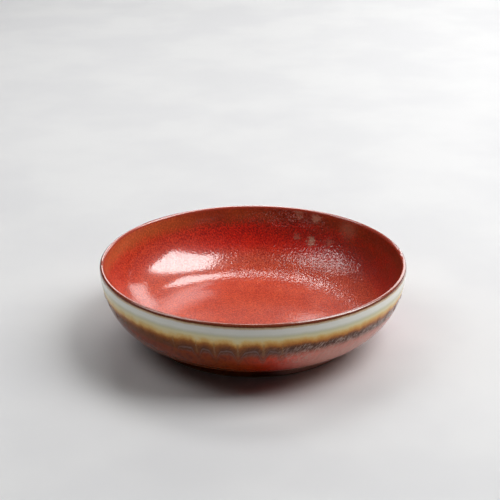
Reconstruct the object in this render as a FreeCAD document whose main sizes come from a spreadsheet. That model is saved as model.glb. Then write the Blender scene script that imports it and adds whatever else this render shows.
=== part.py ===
import FreeCAD, Part
import math
import os
from enum import IntEnum

import Sketcher

# A wide, low stoneware bowl on a turned foot ring. One piece of fired clay, with the red ground glaze
# melted into its surface, carries a second glaze that was dipped round the rim. That dip fired into a
# brown lip, an olive band inside it, and pale, ochre, amber and streaked bands down the outside wall,
# with thin runs of melt standing proud of the lowest one.
# Origin: centre of the circle that the foot stands on. +Z up, and the whole bowl is turned about Z.

os.makedirs("parts", exist_ok=True)
doc = FreeCAD.newDocument("GlazedBowl")

# Lengths in millimetres, angles in degrees
driving_sizes = [
    ("rimRadius", 105.0, "widest outside radius, level with the foot of the lip"),
    ("bowlHeight", 55.0, "from the table to the top of the lip"),
    ("lipRadius", 1.6, "roundness of the lip, so the wall there is twice as thick"),
    ("shoulderAngle", 23.0, "how far the outside turns in before the belly's tighter curve"),
    ("bellyReach", 43.3, "from the rim in to where the belly's curve would run level"),
    ("undersideHeight", 5.2, "height at which it would, above the foot ring"),
    ("innerShoulderAngle", 23.0, "how far the inside turns in before its tighter curve"),
    ("floorInset", 45.0, "from the rim in to the edge of the flat floor"),
    ("floorHeight", 10.5, "height of the floor's top above the table"),
    ("footInset", 34.5, "from the rim in to the outside of the foot ring"),
    ("footWidth", 7.5, "width of the foot ring, outside to inside"),
    ("footEdge", 0.9, "bevel that the foot ring stands on"),
    ("footRoot", 1.6, "width of the bevel where the foot ring leaves the belly"),
    ("footRootAngle", 45.0, "steepness of that bevel"),
    ("wellHeight", 4.4, "height of the recess inside the foot ring"),
    ("wellTaper", 1.5, "how far the recess draws in on its way up"),
    ("glazeThickness", 0.6, "thickness of the dipped glaze over the body"),
    ("innerBandAngle", 11.5, "reach of the olive band below the lip, inside"),
    ("paleAngle", 7.4, "lower edge of the pale band, down the shoulder's curve"),
    ("ochreAngle", 10.7, "lower edge of the ochre band"),
    ("amberAngle", 14.4, "lower edge of the amber band"),
    ("runBulge", 0.4, "how proud a glaze run stands at its thickest"),
    ("runEnd", 0.18, "how proud it still is at both ends"),
    ("runTopAngle", 13.4, "where the runs leave the amber band"),
    ("longRunEndAngle", 21.6, "where a long run stops"),
    ("longRunWidth", 1.5, "width of a long run"),
    ("longRunTurnAngle", 16.4, "place of the first long run round the bowl"),
    ("middleRunEndAngle", 19.6, "where a middle run stops"),
    ("middleRunWidth", 1.2, "width of a middle run"),
    ("middleRunTurnAngle", 0.7, "place of the first middle run"),
    ("shortRunEndAngle", 17.8, "where a short run stops"),
    ("shortRunWidth", 0.9, "width of a short run"),
    ("shortRunTurnAngle", 9.7, "place of the first short run"),
    ("runCount", 15, "runs of each length round the bowl"),
]
lip_facets = 6
clay_lip_facets = 3

sheet = doc.addObject("Spreadsheet::Sheet", "sizes")
for row, (alias, value, note) in enumerate(driving_sizes, start=1):
    sheet.set(f"A{row}", alias)
    sheet.set(f"B{row}", str(value))
    sheet.set(f"C{row}", note)
    sheet.setAlias(f"B{row}", alias)
doc.recompute()


def size(alias):
    return float(sheet.get(alias))


def point(radius, height):
    return FreeCAD.Vector(radius, height, 0)


def polar(centre, radius, degrees):
    turn = math.radians(degrees)
    return point(centre.x + radius * math.cos(turn), centre.y + radius * math.sin(turn))


def tangent_radii(across, down, angle):
    # Two arcs go from a vertical wall to a level floor, across and down from its top. The first turns
    # by the angle and the second by the rest, and they share a tangent where they meet.
    lean = math.cos(math.radians(angle))
    drop = math.sin(math.radians(angle))
    spread = (1 - lean) * (1 - drop) - lean * drop
    first = (across * (1 - drop) - down * lean) / spread
    second = (down * (1 - lean) - across * drop) / spread
    return first, second


# Every sketch starts from these places, and its constraints then tie it to the sheet
lip_height = size("bowlHeight") - size("lipRadius")
lip_centre = point(size("rimRadius") - size("lipRadius"), lip_height)
inner_rim = size("rimRadius") - 2 * size("lipRadius")
underside_radius = size("rimRadius") - size("bellyReach")
floor_radius = size("rimRadius") - size("floorInset")
foot_radius = size("rimRadius") - size("footInset")
shoulder_radius, belly_radius = tangent_radii(
    size("bellyReach"),
    lip_height - size("undersideHeight"),
    size("shoulderAngle"),
)
inner_shoulder_radius, inner_belly_radius = tangent_radii(
    inner_rim - floor_radius,
    lip_height - size("floorHeight"),
    size("innerShoulderAngle"),
)
shoulder_centre = point(size("rimRadius") - shoulder_radius, lip_height)
belly_centre = point(underside_radius, size("undersideHeight") + belly_radius)
inner_shoulder_centre = point(inner_rim - inner_shoulder_radius, lip_height)
inner_belly_centre = point(floor_radius, size("floorHeight") + inner_belly_radius)
coat = size("glazeThickness")

# The same places as the sketches' expressions give them
underside_across = "sizes.rimRadius - sizes.bellyReach"
floor_across = "sizes.rimRadius - sizes.floorInset"
foot_across = "sizes.rimRadius - sizes.footInset"
rim_level = "sizes.bowlHeight - sizes.lipRadius"

# Where an arc that ends level has its lowest point, as an angle
down_angle = -90


class Spot(IntEnum):
    """A point of an edge, by the sketcher's own numbering."""

    START = 1
    END = 2
    MIDDLE = 3


class Datum(IntEnum):
    """What a sketch has of its own. The level axis and the origin share a number there."""

    ORIGIN = -1
    LEVEL_AXIS = -1
    TURNING_AXIS = -2


class Profile:
    """A sketch of half a section, with radius across and height up."""

    def __init__(self, sketch):
        self.sketch = sketch

    def line(self, begin, finish):
        index = self.sketch.addGeometry(Part.LineSegment(begin, finish), False)
        return index, Spot.START, Spot.END

    def arc(self, centre, radius, begin, finish, construction=False):
        # A sketch stores its arcs anticlockwise, so one drawn the other way is entered at its end
        circle = Part.Circle(centre, FreeCAD.Vector(0, 0, 1), radius)
        low, high = sorted((math.radians(begin), math.radians(finish)))
        index = self.sketch.addGeometry(Part.ArcOfCircle(circle, low, high), construction)
        if begin < finish:
            return index, Spot.START, Spot.END
        return index, Spot.END, Spot.START

    def bow(self, begin, middle, finish):
        index = self.sketch.addGeometry(Part.Arc(begin, middle, finish), False)
        return index, Spot.START, Spot.END

    def tie(self, kind, *places):
        return self.sketch.addConstraint(Sketcher.Constraint(kind, *places))

    def measure(self, kind, places, expression):
        # The first value is what was drawn, and the expression holds it from then on
        index = self.tie(kind, *places, self.drawn(kind, places))
        self.sketch.setExpression(f"Constraints[{index}]", expression)

    def drawn(self, kind, places):
        geometry = self.sketch.Geometry[places[0]]
        if kind == "Radius":
            return geometry.Radius
        if kind == "Angle" and isinstance(geometry, Part.ArcOfCircle):
            return geometry.LastParameter - geometry.FirstParameter
        if kind == "Angle":
            along = geometry.EndPoint - geometry.StartPoint
            return math.atan2(along.y, along.x)
        spot = self.sketch.getPoint(places[-2], places[-1])
        return spot.x if kind == "DistanceX" else spot.y

    def across(self, edge, end, expression):
        self.measure("DistanceX", (Datum.ORIGIN, Spot.START, edge[0], end), expression)

    def up(self, edge, end, expression):
        self.measure("DistanceY", (Datum.ORIGIN, Spot.START, edge[0], end), expression)

    def radius(self, edge, expression):
        self.measure("Radius", (edge[0],), expression)

    def slope(self, edge, expression):
        self.measure("Angle", (edge[0],), expression)

    def level(self, *places):
        self.tie("Horizontal", *places)

    def upright(self, *places):
        self.tie("Vertical", *places)

    def close(self, edges):
        for here, there in zip(edges, edges[1:] + edges[:1]):
            smooth = self.is_arc(here) and self.is_arc(there)
            self.tie("Tangent" if smooth else "Coincident", here[0], here[2], there[0], there[1])

    def is_arc(self, edge):
        return isinstance(self.sketch.Geometry[edge[0]], Part.ArcOfCircle)


def new_body(label):
    body = doc.addObject("PartDesign::Body", label)
    body.Label = label
    return body


def upright_profile(body, name):
    sketch = body.newObject("Sketcher::SketchObject", name)
    plane = next(f for f in body.Origin.OriginFeatures if f.Role == "XZ_Plane")
    sketch.AttachmentSupport = [(plane, "")]
    sketch.MapMode = "FlatFace"
    return Profile(sketch)


def turned(body, profile, name):
    turning = body.newObject("PartDesign::Revolution", name)
    turning.Profile = profile.sketch
    turning.ReferenceAxis = (profile.sketch, ["V_Axis"])
    turning.Angle = 360
    profile.sketch.Visibility = False
    return turning


def lip_chords(profile, radius, facets):
    # Equal chords over the lip, from the inside of the wall to the outside
    corners = [polar(lip_centre, radius, 180 - 180 * i / facets) for i in range(facets + 1)]
    return [profile.line(a, b) for a, b in zip(corners, corners[1:])]


def hold_chords(profile, chords, radius_expression):
    # The chords' corners lie on a half circle about the lip's centre
    first = profile.sketch.Geometry[chords[0][0]].StartPoint
    guide = profile.arc(lip_centre, lip_centre.x - first.x, 180, 0, construction=True)
    profile.across(guide, Spot.MIDDLE, "sizes.rimRadius - sizes.lipRadius")
    profile.up(guide, Spot.MIDDLE, rim_level)
    profile.radius(guide, radius_expression)
    profile.level(guide[0], Spot.MIDDLE, guide[0], Spot.START)
    profile.level(guide[0], Spot.MIDDLE, guide[0], Spot.END)
    profile.tie("Coincident", chords[0][0], Spot.START, guide[0], guide[1])
    profile.tie("Coincident", chords[-1][0], Spot.END, guide[0], guide[2])
    for before, after in zip(chords, chords[1:]):
        profile.tie("PointOnObject", before[0], Spot.END, guide[0])
        profile.tie("Equal", before[0], after[0])


# The wall's four arcs, drawn once: the other sketches read their places here
wall = Profile(doc.addObject("Sketcher::SketchObject", "wallArcs"))
wall.sketch.Placement.Rotation = FreeCAD.Rotation(FreeCAD.Vector(1, 0, 0), 90)


def note_place(name, kind, *places):
    # A reading of the solved sketch, which holds nothing itself
    index = wall.tie(kind, *places, wall.drawn(kind, places))
    wall.sketch.setDriving(index, False)
    wall.sketch.renameConstraint(index, name)


def wall_arcs(shoulder, belly, turn_in, rim_across, level_across, level_up):
    wall.across(shoulder, shoulder[1], rim_across)
    wall.up(shoulder, shoulder[1], rim_level)
    wall.level(shoulder[0], Spot.MIDDLE, shoulder[0], shoulder[1])
    wall.slope(shoulder, turn_in)
    wall.tie("Tangent", shoulder[0], shoulder[2], belly[0], belly[1])
    wall.across(belly, belly[2], level_across)
    wall.up(belly, belly[2], level_up)
    wall.upright(belly[0], Spot.MIDDLE, belly[0], belly[2])


outer_turn, inner_turn = size("shoulderAngle"), size("innerShoulderAngle")
outer_shoulder = wall.arc(shoulder_centre, shoulder_radius, 0, -outer_turn)
outer_belly = wall.arc(belly_centre, belly_radius, -outer_turn, down_angle)
inner_shoulder = wall.arc(inner_shoulder_centre, inner_shoulder_radius, 0, -inner_turn)
inner_belly = wall.arc(inner_belly_centre, inner_belly_radius, -inner_turn, down_angle)
wall_arcs(
    outer_shoulder, outer_belly, "sizes.shoulderAngle",
    "sizes.rimRadius", underside_across, "sizes.undersideHeight",
)
wall_arcs(
    inner_shoulder, inner_belly, "sizes.innerShoulderAngle",
    "sizes.rimRadius - 2 * sizes.lipRadius", floor_across, "sizes.floorHeight",
)
note_place("shoulderRadius", "Radius", outer_shoulder[0])
note_place("shoulderAcross", "DistanceX", Datum.ORIGIN, Spot.START, outer_shoulder[0], Spot.MIDDLE)
note_place("bellyRadius", "Radius", outer_belly[0])
note_place("bellyUp", "DistanceY", Datum.ORIGIN, Spot.START, outer_belly[0], Spot.MIDDLE)
note_place("innerShoulderRadius", "Radius", inner_shoulder[0])
note_place("innerShoulderAcross", "DistanceX", Datum.ORIGIN, Spot.START, inner_shoulder[0], Spot.MIDDLE)
doc.recompute()

# The two glazed sides of the wall near the rim. Each clay seat lies one coat below its glazed skin.
outside = {
    "centre": shoulder_centre,
    "skin": shoulder_radius,
    "seat": shoulder_radius - coat,
    "across": "wallArcs.Constraints.shoulderAcross",
    "radius": "wallArcs.Constraints.shoulderRadius",
}
inside = {
    "centre": inner_shoulder_centre,
    "skin": inner_shoulder_radius,
    "seat": inner_shoulder_radius + coat,
    "across": "wallArcs.Constraints.innerShoulderAcross",
    "radius": "wallArcs.Constraints.innerShoulderRadius",
}


def hold_centre(profile, edge, side):
    profile.across(edge, Spot.MIDDLE, side["across"])
    profile.up(edge, Spot.MIDDLE, rim_level)


def hold_cut(profile, cut, centre_edge, angle):
    # A short edge through the coat, on a radius of the shoulder's curve
    profile.tie("PointOnObject", centre_edge[0], Spot.MIDDLE, cut[0])
    profile.slope(cut, angle)


def hold_length(profile, edge, alias):
    index = profile.tie("Distance", edge[0], size(alias))
    profile.sketch.setExpression(f"Constraints[{index}]", f"sizes.{alias}")


def make_body_profile(profile):
    """Half the section of the clay body, from the axis up the inside, over the lip and round the foot."""
    band = size("innerBandAngle")
    root_drop = size("footRoot") * math.tan(math.radians(size("footRootAngle")))
    root_across = foot_radius + size("footRoot")
    root_angle = math.degrees(math.acos((root_across - belly_centre.x) / belly_radius))
    root = polar(belly_centre, belly_radius, -root_angle)
    foot_top = point(foot_radius, root.y - root_drop)
    foot_low = point(foot_radius, size("footEdge"))
    foot_out = point(foot_radius - size("footEdge"), 0)
    foot_in = point(foot_radius - size("footWidth"), 0)
    well = point(foot_in.x - size("wellTaper"), size("wellHeight"))

    floor = profile.line(point(0, size("floorHeight")), point(floor_radius, size("floorHeight")))
    inner_belly = profile.arc(inner_belly_centre, inner_belly_radius, down_angle, -inner_turn)
    inner_wall = profile.arc(inner_shoulder_centre, inner_shoulder_radius, -inner_turn, -band)
    inner_step = profile.line(
        polar(inner_shoulder_centre, inside["skin"], -band),
        polar(inner_shoulder_centre, inside["seat"], -band),
    )
    inner_seat = profile.arc(inner_shoulder_centre, inside["seat"], -band, 0)
    lip = lip_chords(profile, size("lipRadius") - coat, clay_lip_facets)
    outer_seat = profile.arc(shoulder_centre, outside["seat"], 0, -outer_turn)
    outer_step = profile.line(
        polar(shoulder_centre, outside["seat"], -outer_turn),
        polar(shoulder_centre, outside["skin"], -outer_turn),
    )
    belly = profile.arc(belly_centre, belly_radius, -outer_turn, -root_angle)
    foot_root = profile.line(root, foot_top)
    foot_wall = profile.line(foot_top, foot_low)
    foot_edge = profile.line(foot_low, foot_out)
    foot_face = profile.line(foot_out, foot_in)
    well_wall = profile.line(foot_in, well)
    well_top = profile.line(well, point(0, well.y))
    axis = profile.line(point(0, well.y), point(0, size("floorHeight")))
    profile.close(
        [floor, inner_belly, inner_wall, inner_step, inner_seat]
        + lip
        + [outer_seat, outer_step, belly, foot_root, foot_wall, foot_edge, foot_face]
        + [well_wall, well_top, axis]
    )

    profile.level(floor[0])
    profile.tie("PointOnObject", floor[0], Spot.START, Datum.TURNING_AXIS)
    profile.across(floor, Spot.END, floor_across)
    profile.up(floor, Spot.END, "sizes.floorHeight")
    profile.upright(inner_belly[0], Spot.MIDDLE, inner_belly[0], inner_belly[1])
    hold_centre(profile, inner_wall, inside)
    profile.radius(inner_wall, inside["radius"])
    hold_cut(profile, inner_step, inner_wall, "-sizes.innerBandAngle")
    profile.tie("Coincident", inner_seat[0], Spot.MIDDLE, inner_wall[0], Spot.MIDDLE)

    hold_chords(profile, lip, "sizes.lipRadius - sizes.glazeThickness")

    hold_centre(profile, outer_seat, outside)
    hold_cut(profile, outer_step, outer_seat, "-sizes.shoulderAngle")
    profile.across(belly, Spot.MIDDLE, underside_across)
    profile.up(belly, Spot.MIDDLE, "wallArcs.Constraints.bellyUp")
    profile.radius(belly, "wallArcs.Constraints.bellyRadius")
    profile.across(foot_root, Spot.START, f"{foot_across} + sizes.footRoot")
    profile.up(foot_wall, Spot.END, "sizes.footEdge")
    profile.across(foot_wall, Spot.END, foot_across)
    profile.upright(foot_wall[0])
    profile.slope(foot_root, "sizes.footRootAngle - 180")
    profile.tie("PointOnObject", foot_edge[0], Spot.END, Datum.LEVEL_AXIS)
    profile.across(foot_edge, Spot.END, f"{foot_across} - sizes.footEdge")
    profile.level(foot_face[0])
    profile.across(foot_face, Spot.END, f"{foot_across} - sizes.footWidth")
    profile.across(well_wall, Spot.END, f"{foot_across} - sizes.footWidth - sizes.wellTaper")
    profile.up(well_wall, Spot.END, "sizes.wellHeight")
    profile.level(well_top[0])
    profile.tie("PointOnObject", well_top[0], Spot.END, Datum.TURNING_AXIS)


def make_bowl_body():
    body = new_body("bowl_body")
    profile = upright_profile(body, "bodySection")
    make_body_profile(profile)
    body.Tip = turned(body, profile, "bodyTurning")
    return body


def make_band(label, side, top_alias, bottom_alias):
    """A coat on a shoulder between two angles. With no top alias it starts level with the lip's foot."""
    body = new_body(label)
    profile = upright_profile(body, label + "Section")
    top = size(top_alias) if top_alias else 0
    bottom = size(bottom_alias)
    centre, skin_radius, seat_radius = side["centre"], side["skin"], side["seat"]
    skin = profile.arc(centre, skin_radius, -top, -bottom)
    seat = profile.arc(centre, seat_radius, -top, -bottom)
    upper_cut = profile.line(polar(centre, seat_radius, -top), polar(centre, skin_radius, -top))
    lower_cut = profile.line(polar(centre, seat_radius, -bottom), polar(centre, skin_radius, -bottom))
    for cut, corner in ((upper_cut, 1), (lower_cut, 2)):
        profile.tie("Coincident", cut[0], Spot.START, seat[0], seat[corner])
        profile.tie("Coincident", cut[0], Spot.END, skin[0], skin[corner])
    hold_centre(profile, skin, side)
    profile.tie("Coincident", seat[0], Spot.MIDDLE, skin[0], Spot.MIDDLE)
    profile.radius(skin, side["radius"])
    facing = "180 " if side is inside else ""
    hold_cut(profile, lower_cut, skin, f"{facing}-sizes.{bottom_alias}")
    hold_length(profile, lower_cut, "glazeThickness")
    if top_alias:
        hold_cut(profile, upper_cut, skin, f"{facing}-sizes.{top_alias}")
    else:
        profile.level(skin[0], Spot.MIDDLE, skin[0], skin[1])
        profile.level(upper_cut[0])
    body.Tip = turned(body, profile, label + "Turning")
    return body


def make_rim_glaze():
    """The lip's glaze: a half round outside, over the clay's plainer bevelled edge."""
    body = new_body("rim_glaze")
    profile = upright_profile(body, "rimSection")
    skin_radius = size("lipRadius")
    seat_radius = skin_radius - coat
    skin = lip_chords(profile, skin_radius, lip_facets)
    seat = lip_chords(profile, seat_radius, clay_lip_facets)
    inner_cut = profile.line(polar(lip_centre, skin_radius, 180), polar(lip_centre, seat_radius, 180))
    outer_cut = profile.line(polar(lip_centre, seat_radius, 0), polar(lip_centre, skin_radius, 0))
    for run in (skin, seat):
        for before, after in zip(run, run[1:]):
            profile.tie("Coincident", before[0], Spot.END, after[0], Spot.START)
    hold_chords(profile, skin, "sizes.lipRadius")
    hold_chords(profile, seat, "sizes.lipRadius - sizes.glazeThickness")
    profile.tie("Coincident", inner_cut[0], Spot.START, skin[0][0], Spot.START)
    profile.tie("Coincident", inner_cut[0], Spot.END, seat[0][0], Spot.START)
    profile.tie("Coincident", outer_cut[0], Spot.START, seat[-1][0], Spot.END)
    profile.tie("Coincident", outer_cut[0], Spot.END, skin[-1][0], Spot.END)
    body.Tip = turned(body, profile, "rimTurning")
    return body


def make_run_section(body, name, end_alias, turn_alias):
    """A lens of glaze on the shoulder's curve: thickest half way down and thin at both ends."""
    profile = upright_profile(body, name)
    profile.sketch.AttachmentOffset = FreeCAD.Placement(
        FreeCAD.Vector(0, 0, 0), FreeCAD.Rotation(FreeCAD.Vector(0, 1, 0), size(turn_alias))
    )
    profile.sketch.setExpression(".AttachmentOffset.Rotation.Angle", f"sizes.{turn_alias}")
    top, bottom = size("runTopAngle"), size(end_alias)
    centre, radius = outside["centre"], outside["skin"]
    proud = radius + size("runEnd")
    peak = polar(centre, radius + size("runBulge"), -(top + bottom) / 2)
    upper, lower = polar(centre, proud, -top), polar(centre, proud, -bottom)

    seat = profile.arc(centre, radius, -bottom, -top)
    crown = profile.bow(lower, peak, upper)
    upper_cut = profile.line(polar(centre, radius, -top), upper)
    lower_cut = profile.line(polar(centre, radius, -bottom), lower)
    peak_mark = profile.line(polar(centre, radius, -(top + bottom) / 2), peak)
    profile.sketch.setConstruction(peak_mark[0], True)
    for cut, corner in ((lower_cut, Spot.START), (upper_cut, Spot.END)):
        profile.tie("Coincident", cut[0], Spot.START, seat[0], corner)
        profile.tie("Coincident", cut[0], Spot.END, crown[0], corner)
    hold_centre(profile, seat, outside)
    profile.radius(seat, outside["radius"])
    hold_cut(profile, upper_cut, seat, "-sizes.runTopAngle")
    hold_cut(profile, lower_cut, seat, f"-sizes.{end_alias}")
    hold_cut(profile, peak_mark, seat, f"-(sizes.runTopAngle + sizes.{end_alias}) / 2")
    hold_length(profile, upper_cut, "runEnd")
    hold_length(profile, lower_cut, "runEnd")
    hold_length(profile, peak_mark, "runBulge")
    profile.tie("PointOnObject", peak_mark[0], Spot.START, seat[0])
    profile.tie("PointOnObject", peak_mark[0], Spot.END, crown[0])
    return profile


def make_glaze_runs():
    """Runs of melt in three lengths, each length repeated round the bowl."""
    body = new_body("glaze_runs")
    body.AllowCompound = True
    for name in ("long", "middle", "short"):
        profile = make_run_section(body, name + "RunSection", name + "RunEndAngle", name + "RunTurnAngle")
        run = turned(body, profile, name + "Run")
        run.Midplane = True
        run.setExpression("Angle", f"2 * atan(sizes.{name}RunWidth / 2 / sizes.rimRadius)")
        doc.recompute()
        ring = body.newObject("PartDesign::PolarPattern", name + "RunRing")
        ring.Originals = [run]
        ring.Axis = (profile.sketch, ["V_Axis"])
        ring.Angle = 360
        ring.setExpression("Occurrences", "sizes.runCount")
        body.Tip = ring
        doc.recompute()
    return body


pieces = [
    make_bowl_body(),
    make_rim_glaze(),
    make_band("inner_rim_glaze", inside, None, "innerBandAngle"),
    make_band("pale_band_glaze", outside, None, "paleAngle"),
    make_band("ochre_band_glaze", outside, "paleAngle", "ochreAngle"),
    make_band("amber_band_glaze", outside, "ochreAngle", "amberAngle"),
    make_band("streak_band_glaze", outside, "amberAngle", "shoulderAngle"),
    make_glaze_runs(),
]
doc.recompute()

for item in doc.Objects:
    if "Invalid" in item.State or "Error" in item.State:
        raise RuntimeError(f"{item.Label} did not build: {item.State}")
for piece in pieces:
    if piece.Shape.isNull() or not piece.Shape.isValid() or not piece.Shape.Solids:
        raise RuntimeError(f"{piece.Label} is not a sound solid")

for piece in pieces:
    piece.Shape.exportStep(f"parts/{piece.Label}.step")
    print(f"{piece.Label}: {len(piece.Shape.Solids)} solids, {piece.Shape.Volume:.0f} mm3")
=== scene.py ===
import bpy
import bmesh
import math
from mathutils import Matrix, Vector


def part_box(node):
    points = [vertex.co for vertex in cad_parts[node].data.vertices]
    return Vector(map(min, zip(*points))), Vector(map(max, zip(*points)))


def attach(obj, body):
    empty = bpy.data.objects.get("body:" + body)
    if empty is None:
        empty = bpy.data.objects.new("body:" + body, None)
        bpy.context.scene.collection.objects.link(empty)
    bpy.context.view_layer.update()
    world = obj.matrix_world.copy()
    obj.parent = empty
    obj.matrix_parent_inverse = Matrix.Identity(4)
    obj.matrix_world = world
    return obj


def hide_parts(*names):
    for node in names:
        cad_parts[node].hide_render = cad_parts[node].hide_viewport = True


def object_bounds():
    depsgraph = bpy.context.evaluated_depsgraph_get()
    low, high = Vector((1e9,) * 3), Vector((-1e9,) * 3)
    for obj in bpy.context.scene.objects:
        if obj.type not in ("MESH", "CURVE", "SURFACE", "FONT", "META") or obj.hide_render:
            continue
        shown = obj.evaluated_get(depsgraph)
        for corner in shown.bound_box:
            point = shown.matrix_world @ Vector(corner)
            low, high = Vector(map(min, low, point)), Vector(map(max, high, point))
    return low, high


# A wide, low stoneware bowl: red ground glaze inside and out, and a second glaze dipped round the rim
# that fired brown, olive, pale grey-green, ochre and amber, and ran down in streaks.

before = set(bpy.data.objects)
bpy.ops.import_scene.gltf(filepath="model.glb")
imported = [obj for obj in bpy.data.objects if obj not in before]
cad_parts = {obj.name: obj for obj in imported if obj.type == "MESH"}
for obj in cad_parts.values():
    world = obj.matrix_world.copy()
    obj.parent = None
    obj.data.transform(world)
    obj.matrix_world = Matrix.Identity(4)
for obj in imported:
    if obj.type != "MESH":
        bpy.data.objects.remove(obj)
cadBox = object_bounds()
print("frame loaded:", len(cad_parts), "nodes")

mm = 0.001


def tone(red, green, blue):  # a colour as it shows on a screen, 0 to 255, made linear
    return tuple(((part / 255 + 0.055) / 1.055) ** 2.4 for part in (red, green, blue)) + (1.0,)


# Section of the wall

wall = {
    "lipRadius": 1.6 * mm,
    "coat": 0.6 * mm,  # thickness of the dipped glaze
    "shoulderTurn": 23,  # degrees that the outside turns in before the belly's tighter curve
    "bellyReach": 43.3 * mm,
    "undersideHeight": 5.2 * mm,
    "innerShoulderTurn": 23,
    "floorInset": 45.0 * mm,
    "floorHeight": 10.5 * mm,
    "footInset": 34.5 * mm,
    "footWidth": 7.5 * mm,
    "footEdge": 0.9 * mm,  # height of the bare clay, and its bevel
    "footRoot": 2.2 * mm,  # radius of the hollow where the foot ring leaves the belly
    "rootLedge": 0.5 * mm,
    "rootDrops": (0.35 * mm, 0.5 * mm),
    "wellHeight": 4.4 * mm,
    "wellTaper": 1.5 * mm,  # how far the well's side leans in
    "wellSet": 0.3 * mm,  # how far it has come in at the top of the bare clay
    "wellRound": 1.2 * mm,  # size of the bevel at the well's top
    "floorSteps": 24,
    "wellSteps": 20,
    "segments": 360,
    "stepLength": 0.9 * mm,  # longest edge along a curve of the section
}

rimRadius = cadBox[1].x
rimLevel = cadBox[1].z - wall["lipRadius"]  # where the bowl is widest
lipCentre = (rimRadius - wall["lipRadius"], rimLevel)
footRadius = rimRadius - wall["footInset"]
footInside = footRadius - wall["footWidth"]


def tangentRadii(across, down, turn):  # two arcs from upright to level that share a tangent
    lean, drop = math.cos(math.radians(turn)), math.sin(math.radians(turn))
    spread = (1 - lean) * (1 - drop) - lean * drop
    first = (across * (1 - drop) - down * lean) / spread
    second = (down * (1 - lean) - across * drop) / spread
    return first, second


shoulderRadius, bellyRadius = tangentRadii(
    wall["bellyReach"], rimLevel - wall["undersideHeight"], wall["shoulderTurn"])
innerShoulderRadius, innerBellyRadius = tangentRadii(
    wall["floorInset"] - 2 * wall["lipRadius"], rimLevel - wall["floorHeight"], wall["innerShoulderTurn"])
shoulderCentre = (rimRadius - shoulderRadius, rimLevel)
bellyCentre = (rimRadius - wall["bellyReach"], wall["undersideHeight"] + bellyRadius)
innerShoulderCentre = (rimRadius - 2 * wall["lipRadius"] - innerShoulderRadius, rimLevel)
innerBellyCentre = (rimRadius - wall["floorInset"], wall["floorHeight"] + innerBellyRadius)


def onArc(centre, radius, below):  # a place on an arc, so many degrees below level
    turn = math.radians(below)
    return centre[0] + radius * math.cos(turn), centre[1] - radius * math.sin(turn)


def lowerTurn(node, radius):  # how far down an arc of the wall a band reaches, in degrees
    return math.degrees(math.asin((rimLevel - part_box(node)[0].z) / radius))


def footRootTurn():  # where the belly's curve meets the hollow above the foot ring, in degrees
    return math.degrees(math.acos((footRadius + wall["footRoot"] - bellyCentre[0]) / bellyRadius))


def startAt(mesh, place):
    return mesh.verts.new((place[0], 0, place[1]))


def lineTo(mesh, corner, place, steps=1):
    start, goal = corner.co.copy(), Vector((place[0], 0, place[1]))
    for step in range(steps):
        corner = bmesh.ops.extrude_vert_indiv(mesh, verts=[corner])["verts"][0]
        corner.co = start.lerp(goal, (step + 1) / steps)
    return corner


def arcTo(mesh, corner, centre, degrees):  # plus turns down on the outside, minus turns up inside
    radius = (corner.co - Vector((centre[0], 0, centre[1]))).length
    steps = max(3, math.ceil(radius * math.radians(abs(degrees)) / wall["stepLength"]))
    turned = bmesh.ops.spin(
        mesh, geom=[corner], cent=(centre[0], 0, centre[1]), axis=(0, 1, 0),
        angle=math.radians(degrees), steps=steps, use_merge=False)
    return next(part for part in turned["geom_last"] if isinstance(part, bmesh.types.BMVert))


def closeSection(mesh, first, last):
    mesh.edges.new((last, first))


def turnSection(mesh):  # the section goes all the way round, and poles and seams are closed
    bmesh.ops.spin(
        mesh, geom=mesh.verts[:] + mesh.edges[:], cent=(0, 0, 0), axis=(0, 0, 1),
        angle=math.tau, steps=wall["segments"], use_merge=True)
    bmesh.ops.remove_doubles(mesh, verts=mesh.verts, dist=0.001 * mm)
    bmesh.ops.recalc_face_normals(mesh, faces=mesh.faces)


def finishPiece(name, mesh, materials, nodes, crease=30):
    for face in mesh.faces:
        face.smooth = True
    for edge in mesh.edges:
        edge.smooth = edge.calc_face_angle(0) < math.radians(crease)
    data = bpy.data.meshes.new(name)
    mesh.to_mesh(data)
    mesh.free()
    for material in materials:
        data.materials.append(material)
    piece = bpy.data.objects.new(name, data)
    bpy.context.scene.collection.objects.link(piece)
    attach(piece, "root")
    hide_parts(*nodes)
    print("piece made:", name, len(data.polygons), "faces")


# Shader helpers

def addNode(tree, kind, inputs=None, **settings):
    node = tree.nodes.new(kind)
    for name, value in settings.items():
        setattr(node, name, value)
    for name, value in (inputs or {}).items():
        if isinstance(value, bpy.types.NodeSocket):
            tree.links.new(value, node.inputs[name])
        else:
            node.inputs[name].default_value = value
    return node


def calc(tree, operation, *values):
    return addNode(tree, "ShaderNodeMath", dict(enumerate(values)), operation=operation).outputs[0]


def vectorCalc(tree, operation, *values):
    return addNode(tree, "ShaderNodeVectorMath", dict(enumerate(values)), operation=operation).outputs


def times(tree, first, *others):
    for other in others:
        first = calc(tree, "MULTIPLY", first, other)
    return first


def line(tree, value, slope, offset):  # slope times the value, plus the offset
    return calc(tree, "MULTIPLY_ADD", value, slope, offset)


def swing(tree, value):  # a noise, made to swing about nought
    return calc(tree, "SUBTRACT", value, 0.5)


def ramp(tree, value, low, high, fromValue=0.0, toValue=1.0, soft=True):
    inputs = {"Value": value, "From Min": low, "From Max": high, "To Min": fromValue, "To Max": toValue}
    kind = "SMOOTHSTEP" if soft else "LINEAR"
    return addNode(tree, "ShaderNodeMapRange", inputs, interpolation_type=kind).outputs[0]


def hump(tree, value, rise, fall):  # nought before the rise and after the fall, one between them
    return times(tree, ramp(tree, value, *rise), ramp(tree, value, *fall))


def blend(tree, share, under, over):
    return addNode(tree, "ShaderNodeMix", {0: share, 6: under, 7: over}, data_type="RGBA").outputs[2]


def stretch(tree, position, scale):
    return vectorCalc(tree, "MULTIPLY", position, scale)[0]


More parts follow.
